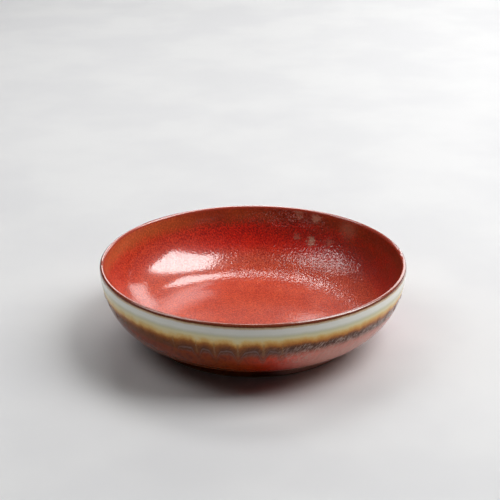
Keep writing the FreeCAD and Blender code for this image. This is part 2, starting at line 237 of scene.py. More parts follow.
def noise(tree, position, size, detail=2.0, roughness=0.5):  # size in mm
    inputs = {"Vector": position, "Scale": 1 / size, "Detail": detail, "Roughness": roughness}
    return addNode(tree, "ShaderNodeTexNoise", inputs).outputs["Fac"]


def colourSteps(tree, value, stops):  # stops are (place, colour), with places from low to high
    low, high = stops[0][0], stops[-1][0]
    node = addNode(tree, "ShaderNodeValToRGB", {"Fac": ramp(tree, value, low, high, soft=False)})
    elements = node.color_ramp.elements
    elements[0].color, elements[1].color = stops[0][1], stops[-1][1]
    for place, colourThere in stops[1:-1]:
        elements.new((place - low) / (high - low)).color = colourThere
    return node.outputs["Color"]


def startGroup(name, inputs, outputs):
    tree = bpy.data.node_groups.new(name, "ShaderNodeTree")
    for label, kind in inputs:
        tree.interface.new_socket(label, in_out="INPUT", socket_type=kind)
    for label, kind in outputs:
        tree.interface.new_socket(label, in_out="OUTPUT", socket_type=kind)
    entry, leave = tree.nodes.new("NodeGroupInput"), tree.nodes.new("NodeGroupOutput")
    return tree, entry.outputs, leave.inputs


def useGroup(tree, group, inputs):
    return addNode(tree, "ShaderNodeGroup", inputs, node_tree=group).outputs


vector, number, colour = "NodeSocketVector", "NodeSocketFloat", "NodeSocketColor"


def inMillimetres(tree, position):
    return stretch(tree, position, (1 / mm, 1 / mm, 1 / mm))


def depthBelowRim(tree, place):
    height = addNode(tree, "ShaderNodeSeparateXYZ", {0: place}).outputs["Z"]
    return calc(tree, "SUBTRACT", rimLevel / mm, height)


def turnAround(tree, place):  # degrees round the bowl from its right side, plus towards the back
    parts = addNode(tree, "ShaderNodeSeparateXYZ", {0: place}).outputs
    return calc(tree, "DEGREES", calc(tree, "ARCTAN2", parts["Y"], parts["X"]))


def distanceOut(tree, place):  # mm from the bowl's axis
    return vectorCalc(tree, "LENGTH", stretch(tree, place, (1, 1, 0)))["Value"]


# A side is three numbers: degrees round the bowl, then the cosines of the turn away from there
# at which an effect starts and at which it is full. With two laps it comes again behind.
def towards(tree, turn, side, laps=1):
    degrees, low, high = side
    away = calc(tree, "RADIANS", calc(tree, "SUBTRACT", turn, degrees))
    return ramp(tree, calc(tree, "COSINE", times(tree, away, laps)), low, high)


# The fine grain of the fired glaze, shared by every glazed piece

grain = {
    "crystalSize": 1.0,  # mm, times the grain size that a material asks for
    "crystalRange": (0.45, 0.57),
    "pebbleSize": 1.7,
    "wideSize": 18.0,
    "wideHeight": 2.0,  # of the wide waver, for each 1 of the pebbles
}


def makeGlazeGrain():
    measures = ("Grain Size", "Gloss", "Matt", "Cover")
    tree, given, out = startGroup(
        "glazeGrain", [("Position", vector)] + [(label, number) for label in measures],
        [("Roughness", number), ("Coat", number), ("Height", number)])
    place = inMillimetres(tree, given["Position"])
    sized = vectorCalc(tree, "DIVIDE", place, given["Grain Size"])[0]
    crystals = ramp(tree, noise(tree, sized, grain["crystalSize"], roughness=0.6), *grain["crystalRange"])
    pebbles = noise(tree, sized, grain["pebbleSize"], detail=1.0)
    wide = noise(tree, place, grain["wideSize"], detail=1.0)
    roughness = addNode(
        tree, "ShaderNodeMix", {0: crystals, 2: given["Gloss"], 3: given["Matt"]}, data_type="FLOAT")
    tree.links.new(roughness.outputs[0], out["Roughness"])
    covered = times(tree, crystals, given["Cover"])
    tree.links.new(calc(tree, "SUBTRACT", 1.0, covered), out["Coat"])
    tree.links.new(line(tree, wide, grain["wideHeight"], pebbles), out["Height"])
    return tree


# The inside: red with fine dark mottling, olive brown in a band under the lip, painted light on the side
# that faces the lamp and painted shade on the side away from it

inside = {
    "mottleSize": 0.95,
    "mottleRange": (0.37, 0.63),
    "squeeze": (1.0, 1.0, 0.7),  # makes the fine marks a little longer up the wall
    "cloudSize": 13.0,
    "cloudShare": 0.22,
    "floorRed": tone(232, 94, 56),
    "floorDark": tone(178, 42, 20),
    "wallRed": tone(242, 48, 16),
    "wallDark": tone(190, 16, 3),
    "wallDepths": (32, 20),  # mm below the rim where the floor's red ends and the wall's is full
    "wallWaver": 8.0,
    "paleSide": (175, 0.2, 0.95),  # where the red is palest: painted light on the wall that faces the lamp
    "paleLoss": 0.7,
    "fleck": tone(66, 4, 2),
    "fleckSize": 0.85,
    "fleckRange": (0.48, 0.68),
    "fleckDepths": (28, 14, 0.05, 0.95),  # mm below the rim, and the flecks' strength at each
    "fleckLoss": 0.6,
    # Painted shade: a browner, darker upper wall on the side away from the lamp
    "brown": tone(112, 46, 20),
    "brownSide": (8, 0.55, 0.98),
    "brownDepths": (38, 22),
    "brownShare": 0.5,
}

olive = {
    "depth": 10.0,  # mm of olive brown under the lip
    "waver": 3.0,
    "fineWaver": 9.0,
    "fade": 5.0,
    "share": 0.88,
    "plain": tone(180, 100, 36),
    # painted light: a lighter olive on the side that faces the lamp
    "light": tone(226, 122, 66),
    "lightShare": 0.85,
    "dark": tone(146, 62, 8),
    "cloudSize": 34.0,
    "cloudRange": (0.4, 0.62),
    # painted shade: a deeper olive on the side away from the lamp
    "deep": tone(100, 42, 8),
    "deepSide": (34, 0.3, 0.95),
    "deepShare": 0.7,
    "reachSide": (34, 0.55, 0.95),  # where the olive reaches furthest down
    "reachClouds": (0.35, 0.6),
    "reach": 12.0,
    "reachFade": 6.0,
    "reachShare": 0.6,
    "speckRange": (0.42, 0.62, 0.35, 0.0),
}

blotches = {
    "colour": tone(214, 206, 176),
    "places": [  # degrees round, mm below the rim, size in mm, strength
        (70, 2.6, 3.2, 0.4), (62, 3.0, 3.2, 0.62), (63, 20.6, 2.8, 0.62), (70, 19.5, 2.4, 0.25),
        (46, 6.0, 7.0, 0.2), (54, 19.0, 3.2, 0.22)],
    "rim": 1.6,  # where a blotch has gone and where it is full, in its sizes
    "heart": 0.2,
    "tornSize": 2.6,
    "torn": 14.0,  # mm that its edge is torn
    "squeeze": (1.0, 1.0, 1.6),
}

dryness = {"side": (50, 0.3, 0.9), "radii": (44, 60)}  # where fine crystals break up the gloss most


def makeInnerGlaze():
    tree, given, out = startGroup(
        "innerGlaze", [("Position", vector)], [("Color", colour), ("Dryness", number)])
    place = inMillimetres(tree, given["Position"])
    depth, turn = depthBelowRim(tree, place), turnAround(tree, place)
    squeezed = stretch(tree, place, inside["squeeze"])
    mottle = noise(tree, squeezed, inside["mottleSize"], roughness=0.6)
    cloud = noise(tree, place, inside["cloudSize"], detail=3.0, roughness=0.6)
    # pale is painted light: the wall that faces the lamp gets paler, more orange red, fewer flecks and a
    # lighter olive
    pale = towards(tree, turn, inside["paleSide"])

    body = layReds(tree, depth, mottle, cloud, pale)
    flecks = ramp(tree, noise(tree, squeezed, inside["fleckSize"], roughness=0.65), *inside["fleckRange"])
    fleckShare = times(
        tree, flecks, ramp(tree, depth, *inside["fleckDepths"]),
        line(tree, pale, -inside["fleckLoss"], 1.0))
    body = blend(tree, fleckShare, body, inside["fleck"])
    # Painted shade on the upper wall, on the side away from the lamp
    brownShare = times(
        tree, towards(tree, turn, inside["brownSide"]), ramp(tree, depth, *inside["brownDepths"]),
        inside["brownShare"])
    body = blend(tree, brownShare, body, inside["brown"])
    body = layOlive(tree, place, depth, turn, mottle, cloud, pale, body)
    body = blend(tree, blotchMask(tree, place), body, blotches["colour"])
    tree.links.new(body, out["Color"])

    upTheWall = ramp(tree, distanceOut(tree, place), *dryness["radii"])
    dry = times(tree, towards(tree, turn, dryness["side"]), upTheWall)
    tree.links.new(dry, out["Dryness"])
    return tree


def layReds(tree, depth, mottle, cloud, pale):
    wallShare = ramp(tree, line(tree, cloud, -inside["wallWaver"], depth), *inside["wallDepths"])
    # Painted light: less of the wall's deep red on the side that faces the lamp
    wallShare = times(tree, wallShare, line(tree, pale, -inside["paleLoss"], 1.0))
    darkRed = blend(tree, wallShare, inside["floorDark"], inside["wallDark"])
    lightRed = blend(tree, wallShare, inside["floorRed"], inside["wallRed"])
    redShare = line(tree, swing(tree, cloud), inside["cloudShare"], mottle)
    return blend(tree, ramp(tree, redShare, *inside["mottleRange"]), darkRed, lightRed)


def layOlive(tree, place, depth, turn, mottle, cloud, pale, body):
    edge = line(tree, swing(tree, cloud), -2 * olive["waver"], depth)
    edge = line(tree, swing(tree, mottle), olive["fineWaver"], edge)
    share = ramp(tree, edge, olive["depth"] + olive["fade"], olive["depth"] - olive["fade"])
    reach = ramp(tree, edge, olive["depth"] + olive["reach"] + olive["reachFade"], olive["depth"])
    reach = times(
        tree, reach, towards(tree, turn, olive["reachSide"]), ramp(tree, cloud, *olive["reachClouds"]),
        olive["reachShare"])
    share = calc(tree, "MAXIMUM", share, reach)
    wide = ramp(tree, noise(tree, place, olive["cloudSize"], detail=1.0), *olive["cloudRange"])
    tint = blend(tree, wide, olive["dark"], olive["plain"])
    # Painted shade: a deeper olive on the side away from the lamp
    deepShare = times(tree, towards(tree, turn, olive["deepSide"]), olive["deepShare"])
    tint = blend(tree, deepShare, tint, olive["deep"])
    # Painted light: a lighter olive on the side that faces the lamp
    tint = blend(tree, times(tree, pale, olive["lightShare"]), tint, olive["light"])
    tint = blend(tree, ramp(tree, mottle, *olive["speckRange"]), tint, inside["fleck"])
    return blend(tree, times(tree, share, olive["share"]), body, tint)


def insideRadius(depth):  # of the inside wall in mm, so many mm below the rim
    drop = depth * mm
    centre, radius = innerShoulderCentre, innerShoulderRadius
    if drop >= radius * math.sin(math.radians(wall["innerShoulderTurn"])):
        centre, radius = innerBellyCentre, innerBellyRadius
    return (centre[0] + math.sqrt(radius ** 2 - (centre[1] - rimLevel + drop) ** 2)) / mm


def blotchMask(tree, place):
    torn = noise(
        tree, stretch(tree, place, blotches["squeeze"]), blotches["tornSize"], detail=3.0, roughness=0.7)
    ragged = times(tree, swing(tree, torn), blotches["torn"])
    mask = 0.0
    for degrees, depth, size, strength in blotches["places"]:
        turn, radius = math.radians(degrees), insideRadius(depth)
        spot = (radius * math.cos(turn), radius * math.sin(turn), rimLevel / mm - depth)
        away = calc(tree, "ADD", vectorCalc(tree, "DISTANCE", place, spot)["Value"], ragged)
        blotch = ramp(tree, away, size * blotches["rim"], size * blotches["heart"], 0.0, strength)
        mask = calc(tree, "MAXIMUM", mask, blotch)
    return mask


# The runs of melt: where they stand is also where they stain the wall

runs = {
    "count": 15,
    "top": 13.4,  # degrees down the shoulder
    "kinds": [(16.4, 21.6, 1.5), (0.7, 19.6, 1.2), (9.7, 17.8, 0.9)],  # turn, lower end, width in mm
    "proud": 0.38 * mm,
    "sunk": 0.15 * mm,
    "belly": 0.62,  # share of the width in the middle, and what the lower end has more
    "swell": 0.38,
    "rings": 12,
}

runPeriod = 360 / runs["count"]


# The outside: what the dip left at each depth below the rim, over the red ground glaze

dip = {
    "stops": [  # mm below the widest level, and the colour there
        (-2.0, tone(152, 66, 40)),
        (-0.8, tone(142, 62, 34)),
        (-0.25, tone(124, 56, 26)),
        (-0.05, tone(108, 52, 20)),
        (0.15, tone(112, 52, 22)),
        (0.5, tone(206, 160, 112)),
        (1.2, tone(222, 200, 168)),
        (2.1, tone(248, 246, 238)),
        (4.8, tone(249, 248, 238)),
        (6.2, tone(234, 232, 214)),
        (7.2, tone(228, 223, 188)),
        (8.8, tone(243, 230, 182)),
        (10.4, tone(240, 203, 126)),
        (12.0, tone(228, 164, 76)),
        (13.6, tone(194, 114, 44)),
        (15.2, tone(140, 76, 34)),
        (17.0, tone(106, 62, 44)),
        (19.6, tone(116, 66, 50)),
        (22.0, tone(186, 62, 24)),
        (24.5, tone(228, 48, 8)),
        (30.0, tone(200, 34, 4)),
        (41.0, tone(178, 28, 4)),
        # from here down the red goes near black at the foot: partly a darker glaze, partly painted shade
        # under the belly
        (46.5, tone(90, 10, 2)),
        (50.0, tone(50, 6, 2)),
    ],
    "lipInside": tone(186, 76, 54),
    "lipInner": (0.7, -0.3),  # mm out from the lip's middle where that colour starts and is full
    "lipDepths": (3.0, 1.0),
    "wavers": {"slow": (1.0, 2.0), "wave": (0.8, 2.8), "fine": (0.6, 1.2)},  # mm, and mm more lower down
    "waverSizes": {"slow": 22.0, "wave": 7.0, "fine": 1.4},
    "waveSqueeze": (1.0, 1.0, 0.35),
    "lowDepths": (6.0, 13.0),  # where the wavers grow
    "amberDrop": 1.7,  # mm that the amber reaches lower away from the pale side
    "amberDepths": (8.0, 13.0),
    "archSide": (-99, 0.55, 0.93),  # where the arches are plainest, and again behind
    "paleSide": (-42, 0.5, 0.95),  # where the pale streaks reach furthest down, partly paler fur and partly a painted reflection of the lit table
    "brownSide": (-142, 0.35, 0.8),  # where the red below is brownest
    "runSway": 1.4,  # times the wave, in mm, that a run's stain sways
    "scallop": 1.2,  # mm that the bands hang lower at a run
    "scallopMiddle": 0.6,
    "rollDepths": (10.5, 5.5),  # where the thick pale glaze ends in a roll
    "furRelief": 0.2,
    "runRelief": 0.4,
}

streaks = {
    "lean": 0.0065,  # turn of the fine streaks, radians for each mm of depth
    "hairSize": 0.9,
    "hairSqueeze": (1.0, 1.0, 0.11),
    "tuftSize": 4.0,
    "tuftSqueeze": (1.0, 1.0, 0.3),
    "tuftShare": 0.3,
    "dark": tone(56, 32, 22),
    "darkRange": (0.52, 0.40),
    "darkRise": (13.4, 15.2),
    "darkFall": (22.5, 17.0),
    "darkShare": 0.65,
    "pale": tone(194, 166, 150),
    "brown": tone(142, 82, 34),
    "paleRange": (0.44, 0.66),
    "paleRise": (14.5, 16.5),
    "paleFall": (27.0, 20.0),
    "paleReach": 9.0,  # mm further down on the pale side, partly a painted reflection of the lit table
    "paleShare": 0.65,
    "paleMore": 0.05,
    "archLoss": 0.45,
}

veils = {
    # a pale pink veil over the low red at the front right: partly the glaze's own paler streaks, partly a
    # painted reflection of the lit table
    "pale": tone(216, 162, 146),
    "paleSide": (-42, 0.72, 0.98),
    "paleDepths": (18.0, 25.0),
    "paleShare": 0.72,
    "amber": tone(134, 68, 12),
    "amberRise": (10.5, 13.5),
    "amberFall": (24.0, 18.0),
    "amberShare": 0.55,
}

arches = {
    "top": 16.6,  # mm below the rim
    "drop": 6.5,
    "width": 4.4,
    "hang": 0.6,  # share of the scallop that an arch hangs with
    "shade": tone(84, 46, 32),
    "shadeRise": (-1.0, 0.2),  # mm below an arch's line
    "shadeFall": (7.0, 2.0),
    "shadeShare": 0.5,
    "lavender": tone(150, 124, 118),
    "outlineRise": (0.5, 1.2),
    "outlineFall": (2.3, 1.5),
    "outlineShare": 0.45,
    "innerRise": (2.6, 3.4),
    "innerFall": (5.4, 4.0),
    "innerHair": (0.36, 0.62),
    "innerShare": 0.35,
}

runStain = {
    "colour": tone(164, 114, 66),
    "width": (1.0, 0.2),  # mm from a run's middle where its stain starts and is full
    "rise": (11.5, 13.5),
    "fall": (23.5, 18.0),
    "share": 0.4,
}

lowRed = {
    "depths": (19.0, 24.0),
    "brown": tone(122, 58, 14),
    "brownShare": 0.86,
    "dark": tone(84, 16, 6),
    "darkSize": 2.2,
    "darkSqueeze": (1.0, 1.0, 0.3),
    "darkRange": (0.46, 0.66),
    "darkShare": 0.5,
    "paleLoss": 0.75,
}


def makeDippedGlaze():
    tree, given, out = startGroup(
        "dippedGlaze", [("Position", vector)], [("Color", colour), ("Height", number), ("Arches", number)])
    melt = readMelt(tree, inMillimetres(tree, given["Position"]))
    body = colourSteps(tree, melt["depth"], dip["stops"])
    starts, full = (lipCentre[0] / mm + step for step in dip["lipInner"])
    lipShare = times(
        tree, ramp(tree, distanceOut(tree, melt["place"]), starts, full),
        ramp(tree, melt["plainDepth"], *dip["lipDepths"]))
    body = blend(tree, lipShare, body, dip["lipInside"])
    body, furShare = layStreaks(tree, melt, body)
    body = layVeils(tree, melt, body)
    body = layArches(tree, melt, body)
    body, runShare = layRunStains(tree, melt, body)
    body = layLowRed(tree, melt, body)
    tree.links.new(body, out["Color"])

    relief = line(tree, furShare, dip["furRelief"], ramp(tree, melt["depth"], *dip["rollDepths"]))
    tree.links.new(line(tree, runShare, dip["runRelief"], relief), out["Height"])
    tree.links.new(melt["arches"], out["Arches"])
    return tree


def readMelt(tree, place):  # the depths and shares that every layer of the dipped glaze goes by
    plainDepth, turn = depthBelowRim(tree, place), turnAround(tree, place)
    melt = {
        "place": place, "plainDepth": plainDepth, "turn": turn,
        "arches": towards(tree, turn, dip["archSide"], laps=2),
        "pale": towards(tree, turn, dip["paleSide"]),
        "brown": towards(tree, turn, dip["brownSide"]),
    }
    sizes = dip["waverSizes"]
    swings = {
        "slow": swing(tree, noise(tree, place, sizes["slow"])),
        "wave": swing(tree, noise(tree, stretch(tree, place, dip["waveSqueeze"]), sizes["wave"])),
        "fine": swing(tree, noise(tree, place, sizes["fine"], roughness=0.6)),
    }
    melt["away"] = awayFromRuns(tree, turn, swings["wave"])
    melt["between"] = ramp(tree, melt["away"], 0.0, arches["width"])
    melt["scallop"] = times(
        tree, calc(tree, "SUBTRACT", melt["between"], dip["scallopMiddle"]), melt["arches"], dip["scallop"])
    low = ramp(tree, plainDepth, *dip["lowDepths"])
    depth = line(tree, melt["scallop"], low, plainDepth)
    for kind, (reach, more) in dip["wavers"].items():
        depth = line(tree, swings[kind], line(tree, low, more, reach), depth)
    rest = calc(tree, "SUBTRACT", 1.0, melt["pale"])
    drop = times(tree, rest, ramp(tree, plainDepth, *dip["amberDepths"]))
    melt["depth"] = line(tree, drop, -dip["amberDrop"], depth)
    melt["hair"], melt["furred"] = leaningHair(tree, place, plainDepth)
    return melt


def awayFromRuns(tree, turn, wave):  # mm along the wall to the nearest run of melt
    nearest = runPeriod
    for runTurn, end, width in runs["kinds"]:
        offset = calc(tree, "PINGPONG", calc(tree, "SUBTRACT", turn, runTurn), runPeriod / 2)
        nearest = calc(tree, "MINIMUM", nearest, offset)
    away = times(tree, nearest, math.radians(1) * rimRadius / mm)
    return calc(tree, "ABSOLUTE", line(tree, wave, dip["runSway"], away))


def leaningHair(tree, place, plainDepth):  # fine hair that leans with depth, and the same in tufts
    lean = {"Vector": place, "Angle": times(tree, plainDepth, streaks["lean"])}
    leaned = addNode(tree, "ShaderNodeVectorRotate", lean, rotation_type="Z_AXIS").outputs[0]
    hair = noise(tree, stretch(tree, leaned, streaks["hairSqueeze"]), streaks["hairSize"], roughness=0.65)
    tuft = noise(tree, stretch(tree, leaned, streaks["tuftSqueeze"]), streaks["tuftSize"], detail=1.0)
    return hair, line(tree, swing(tree, tuft), streaks["tuftShare"], hair)


def layStreaks(tree, melt, body):  # dark streaks where the amber ends, and pale ones from there down
    furred = melt["furred"]
    darkShare = times(
        tree, ramp(tree, furred, *streaks["darkRange"]),
        hump(tree, melt["depth"], streaks["darkRise"], streaks["darkFall"]), streaks["darkShare"])
    body = blend(tree, darkShare, body, streaks["dark"])
    lowEnd = line(tree, melt["pale"], -streaks["paleReach"], melt["depth"])
    furShare = times(
        tree, ramp(tree, furred, *streaks["paleRange"]), ramp(tree, melt["depth"], *streaks["paleRise"]),
        ramp(tree, lowEnd, *streaks["paleFall"]))
    amount = line(tree, melt["pale"], streaks["paleMore"], streaks["paleShare"])
    amount = line(tree, melt["arches"], -streaks["archLoss"], amount)
    tint = blend(tree, melt["brown"], streaks["pale"], streaks["brown"])
    return blend(tree, times(tree, furShare, amount), body, tint), furShare


def layVeils(tree, melt, body):  # pale over the low red on one side, partly a painted reflection of the lit table, and amber over the bands on the other
    paleShare = times(
        tree, ramp(tree, melt["depth"], *veils["paleDepths"]),
        towards(tree, melt["turn"], veils["paleSide"]), veils["paleShare"])
    body = blend(tree, paleShare, body, veils["pale"])
    amberShare = times(
        tree, hump(tree, melt["depth"], veils["amberRise"], veils["amberFall"]), melt["brown"],
        veils["amberShare"])
    return blend(tree, amberShare, body, veils["amber"])


def layArches(tree, melt, body):  # between the runs, shaded inside and outlined in lavender grey
    archLine = line(tree, melt["between"], -arches["drop"], arches["top"] + arches["drop"])
    hanging = line(tree, melt["scallop"], -arches["hang"], melt["depth"])
    under = calc(tree, "SUBTRACT", hanging, archLine)
    shade = hump(tree, under, arches["shadeRise"], arches["shadeFall"])
    body = blend(tree, times(tree, shade, melt["arches"], arches["shadeShare"]), body, arches["shade"])
    outline = hump(tree, under, arches["outlineRise"], arches["outlineFall"])
    inner = hump(tree, under, arches["innerRise"], arches["innerFall"])
    inner = times(tree, inner, ramp(tree, melt["hair"], *arches["innerHair"]), arches["innerShare"])
    arch = calc(tree, "MAXIMUM", times(tree, outline, arches["outlineShare"]), inner)
    return blend(tree, times(tree, arch, melt["arches"]), body, arches["lavender"])


def layRunStains(tree, melt, body):  # the stain that each run leaves on the wall
    share = times(
        tree, ramp(tree, melt["away"], *runStain["width"]),
        ramp(tree, melt["plainDepth"], *runStain["rise"]), ramp(tree, melt["depth"], *runStain["fall"]),
        melt["arches"], runStain["share"])
    return blend(tree, share, body, runStain["colour"]), share


def layLowRed(tree, melt, body):  # the red below, browner on one side, and darker in streaks
    zone = ramp(tree, melt["depth"], *lowRed["depths"])
    body = blend(tree, times(tree, zone, melt["brown"], lowRed["brownShare"]), body, lowRed["brown"])
    streak = noise(
        tree, stretch(tree, melt["place"], lowRed["darkSqueeze"]), lowRed["darkSize"],
        detail=3.0, roughness=0.6)
    share = times(
        tree, zone, ramp(tree, streak, *lowRed["darkRange"]),
        line(tree, melt["pale"], -lowRed["paleLoss"], 1.0), lowRed["darkShare"])
    return blend(tree, share, body, lowRed["dark"])


glazeGrain = makeGlazeGrain()
innerGlaze = makeInnerGlaze()
dippedGlaze = makeDippedGlaze()


# Materials

finishes = {  # gloss is the roughness between the crystals, and matt the roughness on them
    "inside": {
        "shader": {"IOR": 1.5, "Coat Roughness": 0.11, "Coat IOR": 1.95},
        "grainSize": 1.0, "gloss": 0.3, "matt": 0.48, "bump": 0.34 * mm,
        "cover": 0.25, "dryCover": 0.75,  # how much gloss the crystals take, and more where it is dry
        "pebbles": 0.2, "dryPebbles": 0.8,
    },
    "outside": {
        "shader": {"IOR": 1.35},
        "grainSize": 1.3, "gloss": 0.08, "matt": 0.2, "bump": 0.03 * mm, "wideBump": 0.2 * mm,
    },
    "lip": {
        "shader": {"IOR": 1.45, "Coat Weight": 1.0, "Coat Roughness": 0.13, "Coat IOR": 1.8},
        "grainSize": 1.0, "gloss": 0.14, "matt": 0.3, "bump": 0.04 * mm,
    },
    "run": {
        "shader": {"IOR": 1.48},
        "grainSize": 1.0, "gloss": 0.1, "matt": 0.3, "bump": 0.03 * mm,
        "stops": [  # mm below the rim, and the colour there
            (13.0, tone(170, 106, 44)), (16.5, tone(172, 120, 62)),
            (20.0, tone(150, 98, 60)), (24.0, tone(140, 60, 36))],
        "mottleSize": 1.6, "mottle": 3.0, "wallShare": 0.2, "archShare": 0.35,
    },
    "clay": {
        "shader": {"Roughness": 0.85},
        "dark": tone(150, 128, 104), "light": tone(176, 156, 130),
        "patchSize": 9.0, "patchRange": (0.35, 0.65),
        "grog": tone(96, 72, 54), "grogSize": 0.5, "grogRange": (0.62, 0.72), "bump": 0.06 * mm,
    },
}


def startMaterial(name, values):
    material = bpy.data.materials.new(name)
    material.use_nodes = True
    tree = material.node_tree
    shader = tree.nodes["Principled BSDF"]
    for label, value in values.items():
        shader.inputs[label].default_value = value
    position = tree.nodes.new("ShaderNodeTexCoord").outputs["Object"]
    return material, tree, shader, position


def joinGrain(tree, shader, position, finish, cover=0.0):
    grained = useGroup(tree, glazeGrain, {
        "Position": position, "Grain Size": finish["grainSize"],
        "Gloss": finish["gloss"], "Matt": finish["matt"], "Cover": cover})
    tree.links.new(grained["Roughness"], shader.inputs["Roughness"])
    return grained


def joinBump(tree, shader, height, distance, under=None):
    inputs = {"Height": height, "Distance": distance}
    if under:
        inputs["Normal"] = under
    bump = addNode(tree, "ShaderNodeBump", inputs).outputs["Normal"]
    tree.links.new(bump, shader.inputs["Normal"])
    return bump


def makeInsideMaterial():
    finish = finishes["inside"]
    material, tree, shader, position = startMaterial("insideGlaze", finish["shader"])
    inner = useGroup(tree, innerGlaze, {"Position": position})
    tree.links.new(inner["Color"], shader.inputs["Base Color"])
    cover = line(tree, inner["Dryness"], finish["dryCover"], finish["cover"])
    grained = joinGrain(tree, shader, position, finish, cover)
    tree.links.new(grained["Coat"], shader.inputs["Coat Weight"])
    pebbled = times(
        tree, grained["Height"], line(tree, inner["Dryness"], finish["dryPebbles"], finish["pebbles"]))
    bump = joinBump(tree, shader, pebbled, finish["bump"])
    tree.links.new(bump, shader.inputs["Coat Normal"])
    return material


def makeOutsideMaterial():
    finish = finishes["outside"]
    material, tree, shader, position = startMaterial("outsideGlaze", finish["shader"])
    dipped = useGroup(tree, dippedGlaze, {"Position": position})
    tree.links.new(dipped["Color"], shader.inputs["Base Color"])
    grained = joinGrain(tree, shader, position, finish)
    wide = joinBump(tree, shader, dipped["Height"], finish["wideBump"])
    joinBump(tree, shader, grained["Height"], finish["bump"], under=wide)
    return material


def makeLipMaterial():
    finish = finishes["lip"]
    material, tree, shader, position = startMaterial("lipGlaze", finish["shader"])
    dipped = useGroup(tree, dippedGlaze, {"Position": position})
    tree.links.new(dipped["Color"], shader.inputs["Base Color"])
    grained = joinGrain(tree, shader, position, finish)
    bump = joinBump(tree, shader, grained["Height"], finish["bump"])
    tree.links.new(bump, shader.inputs["Coat Normal"])
    return material


def makeRunMaterial():
    finish = finishes["run"]
    material, tree, shader, position = startMaterial("runGlaze", finish["shader"])
    place = inMillimetres(tree, position)
    mottle = noise(tree, place, finish["mottleSize"])
    mottled = line(tree, mottle, finish["mottle"], depthBelowRim(tree, place))
    tint = colourSteps(tree, mottled, finish["stops"])
    dipped = useGroup(tree, dippedGlaze, {"Position": position})
    share = line(tree, dipped["Arches"], finish["archShare"], finish["wallShare"])
    tree.links.new(blend(tree, share, dipped["Color"], tint), shader.inputs["Base Color"])
    grained = joinGrain(tree, shader, position, finish)
    joinBump(tree, shader, grained["Height"], finish["bump"])
    return material


def makeClayMaterial():
    finish = finishes["clay"]
    material, tree, shader, position = startMaterial("bareClay", finish["shader"])
    place = inMillimetres(tree, position)
    grog = noise(tree, place, finish["grogSize"], detail=4.0, roughness=0.7)
    patch = noise(tree, place, finish["patchSize"])
    tint = blend(tree, ramp(tree, patch, *finish["patchRange"]), finish["dark"], finish["light"])
    tint = blend(tree, ramp(tree, grog, *finish["grogRange"]), tint, finish["grog"])
    tree.links.new(tint, shader.inputs["Base Color"])
    joinBump(tree, shader, grog, finish["bump"])
    return material


insideMaterial = makeInsideMaterial()
outsideMaterial = makeOutsideMaterial()
lipMaterial = makeLipMaterial()
runMaterial = makeRunMaterial()
clayMaterial = makeClayMaterial()
print("materials made:", len(bpy.data.materials))


# Pieces

innerSeat = innerShoulderRadius + wall["coat"]  # where the olive band lies on the body
innerBandTurn = lowerTurn("inner_rim_glaze", innerSeat)


def makeBowlBody():
    mesh = bmesh.new()
    first = startAt(mesh, (0, wall["floorHeight"]))
    corner = lineTo(mesh, first, (innerBellyCentre[0], wall["floorHeight"]), wall["floorSteps"])
    corner = arcTo(mesh, corner, innerBellyCentre, wall["innerShoulderTurn"] - 90)
    corner = arcTo(mesh, corner, innerShoulderCentre, innerBandTurn - wall["innerShoulderTurn"])
    corner = lineTo(mesh, corner, onArc(innerShoulderCentre, innerSeat, innerBandTurn))
    corner = arcTo(mesh, corner, innerShoulderCentre, -innerBandTurn)
    corner = arcTo(mesh, corner, lipCentre, 180)
    corner = arcTo(mesh, corner, shoulderCentre, wall["shoulderTurn"])
    corner = lineTo(mesh, corner, onArc(shoulderCentre, shoulderRadius, wall["shoulderTurn"]))
    corner = arcTo(mesh, corner, bellyCentre, footRootTurn() - wall["shoulderTurn"])
    corner = lineFoot(mesh, corner)
    lineTo(mesh, corner, (0, wall["wellHeight"]), wall["wellSteps"])
    turnSection(mesh)
    for face in mesh.faces:
        face.material_index = 1 if facesOut(face) else 0
    finishPiece("bowlBody", mesh, [insideMaterial, outsideMaterial], ["bowl_body"])


def lineFoot(mesh, corner):  # from the belly round the foot ring and into the well
    firstDrop, secondDrop = wall["rootDrops"]
    wellEdge, wellRound = footInside - wall["wellTaper"], wall["wellRound"]
    corner = lineTo(mesh, corner, (footRadius + wall["rootLedge"], corner.co.z - firstDrop), 2)
    corner = lineTo(mesh, corner, (footRadius, corner.co.z - secondDrop), 1)
    corner = lineTo(mesh, corner, (footRadius, wall["footEdge"]), 4)
    corner = lineTo(mesh, corner, (footInside - wall["wellSet"], wall["footEdge"]), 3)
    corner = lineTo(mesh, corner, (wellEdge + wellRound / 4, wall["wellHeight"] - wellRound / 2), 4)
    return lineTo(mesh, corner, (wellEdge - wellRound * 3 / 4, wall["wellHeight"]), 2)


def facesOut(face):  # the outside has the dipped glaze, the inside and the lip's inner half don't
    middle = face.calc_center_median()
    outward = face.normal.x * middle.x + face.normal.y * middle.y
    return face.normal.z < -0.001 or outward > 0.2 * rimRadius


def makeFootEdge():
    mesh = bmesh.new()
    bevel = wall["footEdge"]
    first = startAt(mesh, (footRadius, bevel))
    corner = lineTo(mesh, first, (footRadius - 0.25 * bevel, 0.45 * bevel), 1)
    corner = lineTo(mesh, corner, (footRadius - bevel, 0), 2)
    corner = lineTo(mesh, corner, (footInside + 0.5 * bevel, 0), 4)
    corner = lineTo(mesh, corner, (footInside, 0.5 * bevel), 2)
    corner = lineTo(mesh, corner, (footInside - wall["wellSet"], bevel), 1)
    closeSection(mesh, first, corner)
    turnSection(mesh)
    finishPiece("footEdge", mesh, [clayMaterial], ["bowl_body"])


